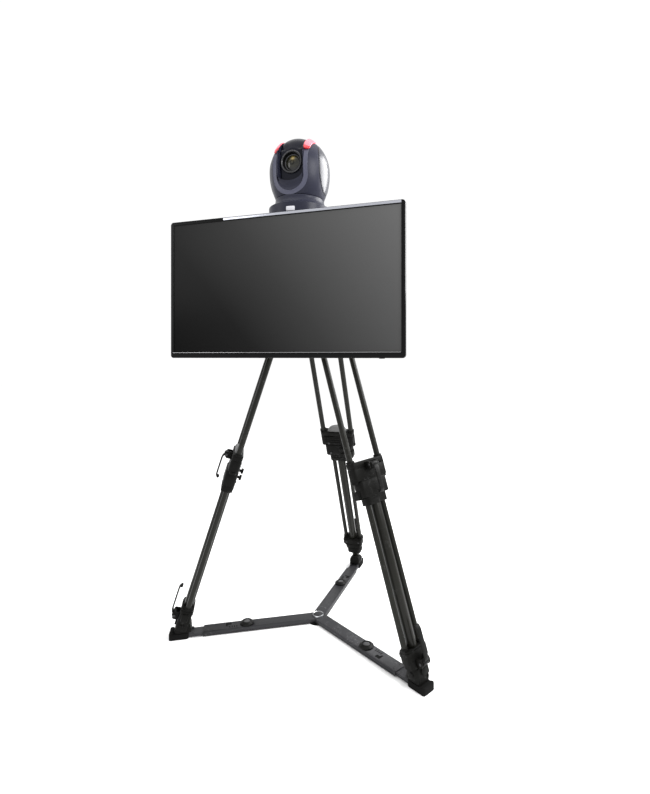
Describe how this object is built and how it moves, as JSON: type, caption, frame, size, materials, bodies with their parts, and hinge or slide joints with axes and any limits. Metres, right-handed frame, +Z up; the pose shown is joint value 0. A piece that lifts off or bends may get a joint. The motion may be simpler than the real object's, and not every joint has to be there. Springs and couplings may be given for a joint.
{
  "type": "webcam on tripod",
  "caption": "Remote pan and tilt camera above a wide flat monitor, on a tripod with telescoping legs, clamp levers and a floor spreader.",
  "frame": {"origin": "on the floor, under the middle of the spreader hub", "axes": "+Z up, -Y towards the front of the monitor and the lens, +X to the right seen from the front"},
  "size_m": [0.8578, 0.785, 1.578],
  "materials": {
    "tube_black": "satin black anodised",
    "casting_black": "matt black paint on a cast clamp",
    "plastic_black": "moulded black plastic, fine texture",
    "channel_grey": "dark grey textured powder coat",
    "rubber_black": "matt black rubber",
    "steel_bright": "turned and brushed",
    "bracket_black": "black powder coat",
    "shell_slate": "dark slate moulded plastic, satin",
    "head_black": "gloss black moulded plastic",
    "lens_dark": "coated lens glass",
    "tally_red": "translucent light red lens",
    "monitor_black": "satin black moulded plastic",
    "screen_dark": "dark display panel, switched off",
    "board_green": "solder mask on a circuit board"
  },
  "bodies": {
    "stand": {"crown": "casting_black", "bowl_ball": "steel_bright", "mast": "bracket_black", "camera_shelf": "bracket_black", "monitor_bracket": "bracket_black", "vesa_plate": "bracket_black", "monitor_frame": "monitor_black", "screen_panel": "screen_dark", "rear_panel": "monitor_black", "rear_housing": "monitor_black", "main_board": "board_green", "power_inlet": "plastic_black", "camera_base": "shell_slate", "back_upper_stage": "tube_black", "back_middle_clamp": "casting_black", "back_middle_stage": "tube_black", "back_lower_clamp": "casting_black", "left_upper_stage": "tube_black", "left_middle_clamp": "casting_black", "left_middle_stage": "tube_black", "left_lower_clamp": "casting_black", "right_upper_stage": "tube_black", "right_middle_clamp": "casting_black", "right_middle_stage": "tube_black", "right_lower_clamp": "casting_black"},
    "tie_down_knob": {"tie_down_knob": "plastic_black"},
    "power_button": {"power_button": "monitor_black"},
    "camera_yoke": {"camera_yoke": "shell_slate", "tally_light_left": "tally_red", "tally_light_right": "tally_red"},
    "camera_head": {"camera_head": "head_black", "tilt_shaft": "steel_bright", "lens_barrel": "head_black", "lens_glass": "lens_dark"},
    "spreader": {"spreader_hub": "rubber_black", "hub_cap": "steel_bright", "back_spreader_channel": "channel_grey", "left_spreader_channel": "channel_grey", "right_spreader_channel": "channel_grey"},
    "back_lower_leg": {"back_lower_tube": "tube_black", "back_foot": "casting_black", "back_foot_pad": "rubber_black", "back_spreader_slider": "casting_black"},
    "back_middle_lever": {"back_middle_lever": "plastic_black"},
    "back_lower_lever": {"back_lower_lever": "plastic_black"},
    "back_spreader_knob": {"back_spreader_knob": "plastic_black"},
    "left_lower_leg": {"left_lower_tube": "tube_black", "left_foot": "casting_black", "left_foot_pad": "rubber_black", "left_spreader_slider": "casting_black"},
    "left_middle_lever": {"left_middle_lever": "plastic_black"},
    "left_lower_lever": {"left_lower_lever": "plastic_black"},
    "left_spreader_knob": {"left_spreader_knob": "plastic_black"},
    "right_lower_leg": {"right_lower_tube": "tube_black", "right_foot": "casting_black", "right_foot_pad": "rubber_black", "right_spreader_slider": "casting_black"},
    "right_middle_lever": {"right_middle_lever": "plastic_black"},
    "right_lower_lever": {"right_lower_lever": "plastic_black"},
    "right_spreader_knob": {"right_spreader_knob": "plastic_black"}
  },
  "joints": [
    {"name": "camera_pan", "type": "hinge", "parent": "stand", "child": "camera_yoke", "pos_m": [0, -0.153, 1.49], "axis": [0, 0, 1], "range_deg": [-170, 170]},
    {"name": "camera_tilt", "type": "hinge", "parent": "camera_yoke", "child": "camera_head", "pos_m": [0, -0.153, 1.49], "axis": [-1, 0, 0], "range_deg": [-30, 90]},
    {"name": "tie_down_turn", "type": "hinge", "parent": "stand", "child": "tie_down_knob", "pos_m": [0, -0.08366, 1.133], "axis": [0, 0, -1], "range_deg": [0, 360]},
    {"name": "power_button_press", "type": "slide", "parent": "stand", "child": "power_button", "axis": [0, 0, 1], "range_m": [0, 0.0012], "stiffness_N_per_m": 400, "springref_m": -0.0005},
    {"name": "left_leg_extension", "type": "slide", "parent": "stand", "child": "left_lower_leg", "axis": [-0.2931, -0.0995, -0.9509], "range_m": [0, 0.32]},
    {"name": "right_leg_extension", "type": "slide", "parent": "stand", "child": "right_lower_leg", "axis": [0.2931, -0.0995, -0.9509], "range_m": [0, 0.3205]},
    {"name": "back_leg_extension", "type": "slide", "parent": "stand", "child": "back_lower_leg", "axis": [0, 0.3945, -0.9189], "range_m": [0, 0.3316]},
    {"name": "spreader_extension", "type": "slide", "parent": "left_lower_leg", "child": "spreader", "axis": [0.866, 0.5, 0], "range_m": [0, 0.1088]},
    {"name": "back_middle_lever_flip", "type": "hinge", "parent": "stand", "child": "back_middle_lever", "pos_m": [0, 0.23249, 0.61983], "axis": [1, 0, 0], "range_deg": [0, 100]},
    {"name": "back_lower_lever_flip", "type": "hinge", "parent": "stand", "child": "back_lower_lever", "pos_m": [0, 0.44553, 0.12363], "axis": [-1, 0, 0], "range_deg": [0, 100]},
    {"name": "back_spreader_knob_turn", "type": "hinge", "parent": "spreader", "child": "back_spreader_knob", "pos_m": [0, 0.239, 0.0165], "axis": [0, 0, 1], "range_deg": [0, 180]},
    {"name": "left_middle_lever_flip", "type": "hinge", "parent": "stand", "child": "left_middle_lever", "pos_m": [-0.24455, -0.18063, 0.59243], "axis": [-0.499, 0.8643, 0.0634], "range_deg": [0, 100]},
    {"name": "left_lower_lever_flip", "type": "hinge", "parent": "stand", "child": "left_lower_lever", "pos_m": [-0.40284, -0.23434, 0.07895], "axis": [0.499, -0.8643, -0.0634], "range_deg": [0, 100]},
    {"name": "left_spreader_knob_turn", "type": "hinge", "parent": "spreader", "child": "left_spreader_knob", "pos_m": [-0.20698, -0.1195, 0.0165], "axis": [0, 0, 1], "range_deg": [0, 180]},
    {"name": "right_middle_lever_flip", "type": "hinge", "parent": "stand", "child": "right_middle_lever", "pos_m": [0.24455, -0.18063, 0.59243], "axis": [-0.499, -0.8643, -0.0634], "range_deg": [0, 100]},
    {"name": "right_lower_lever_flip", "type": "hinge", "parent": "stand", "child": "right_lower_lever", "pos_m": [0.40284, -0.23434, 0.07895], "axis": [0.499, 0.8643, 0.0634], "range_deg": [0, 100]},
    {"name": "right_spreader_knob_turn", "type": "hinge", "parent": "spreader", "child": "right_spreader_knob", "pos_m": [0.20698, -0.1195, 0.0165], "axis": [0, 0, 1], "range_deg": [0, 180]}
  ],
  "couplings": [
    {"joint": "right_leg_extension", "follows": "left_leg_extension", "ratio": 1},
    {"joint": "back_leg_extension", "follows": "left_leg_extension", "ratio": 1.0348},
    {"joint": "spreader_extension", "follows": "left_leg_extension", "ratio": 0.33848}
  ]
}
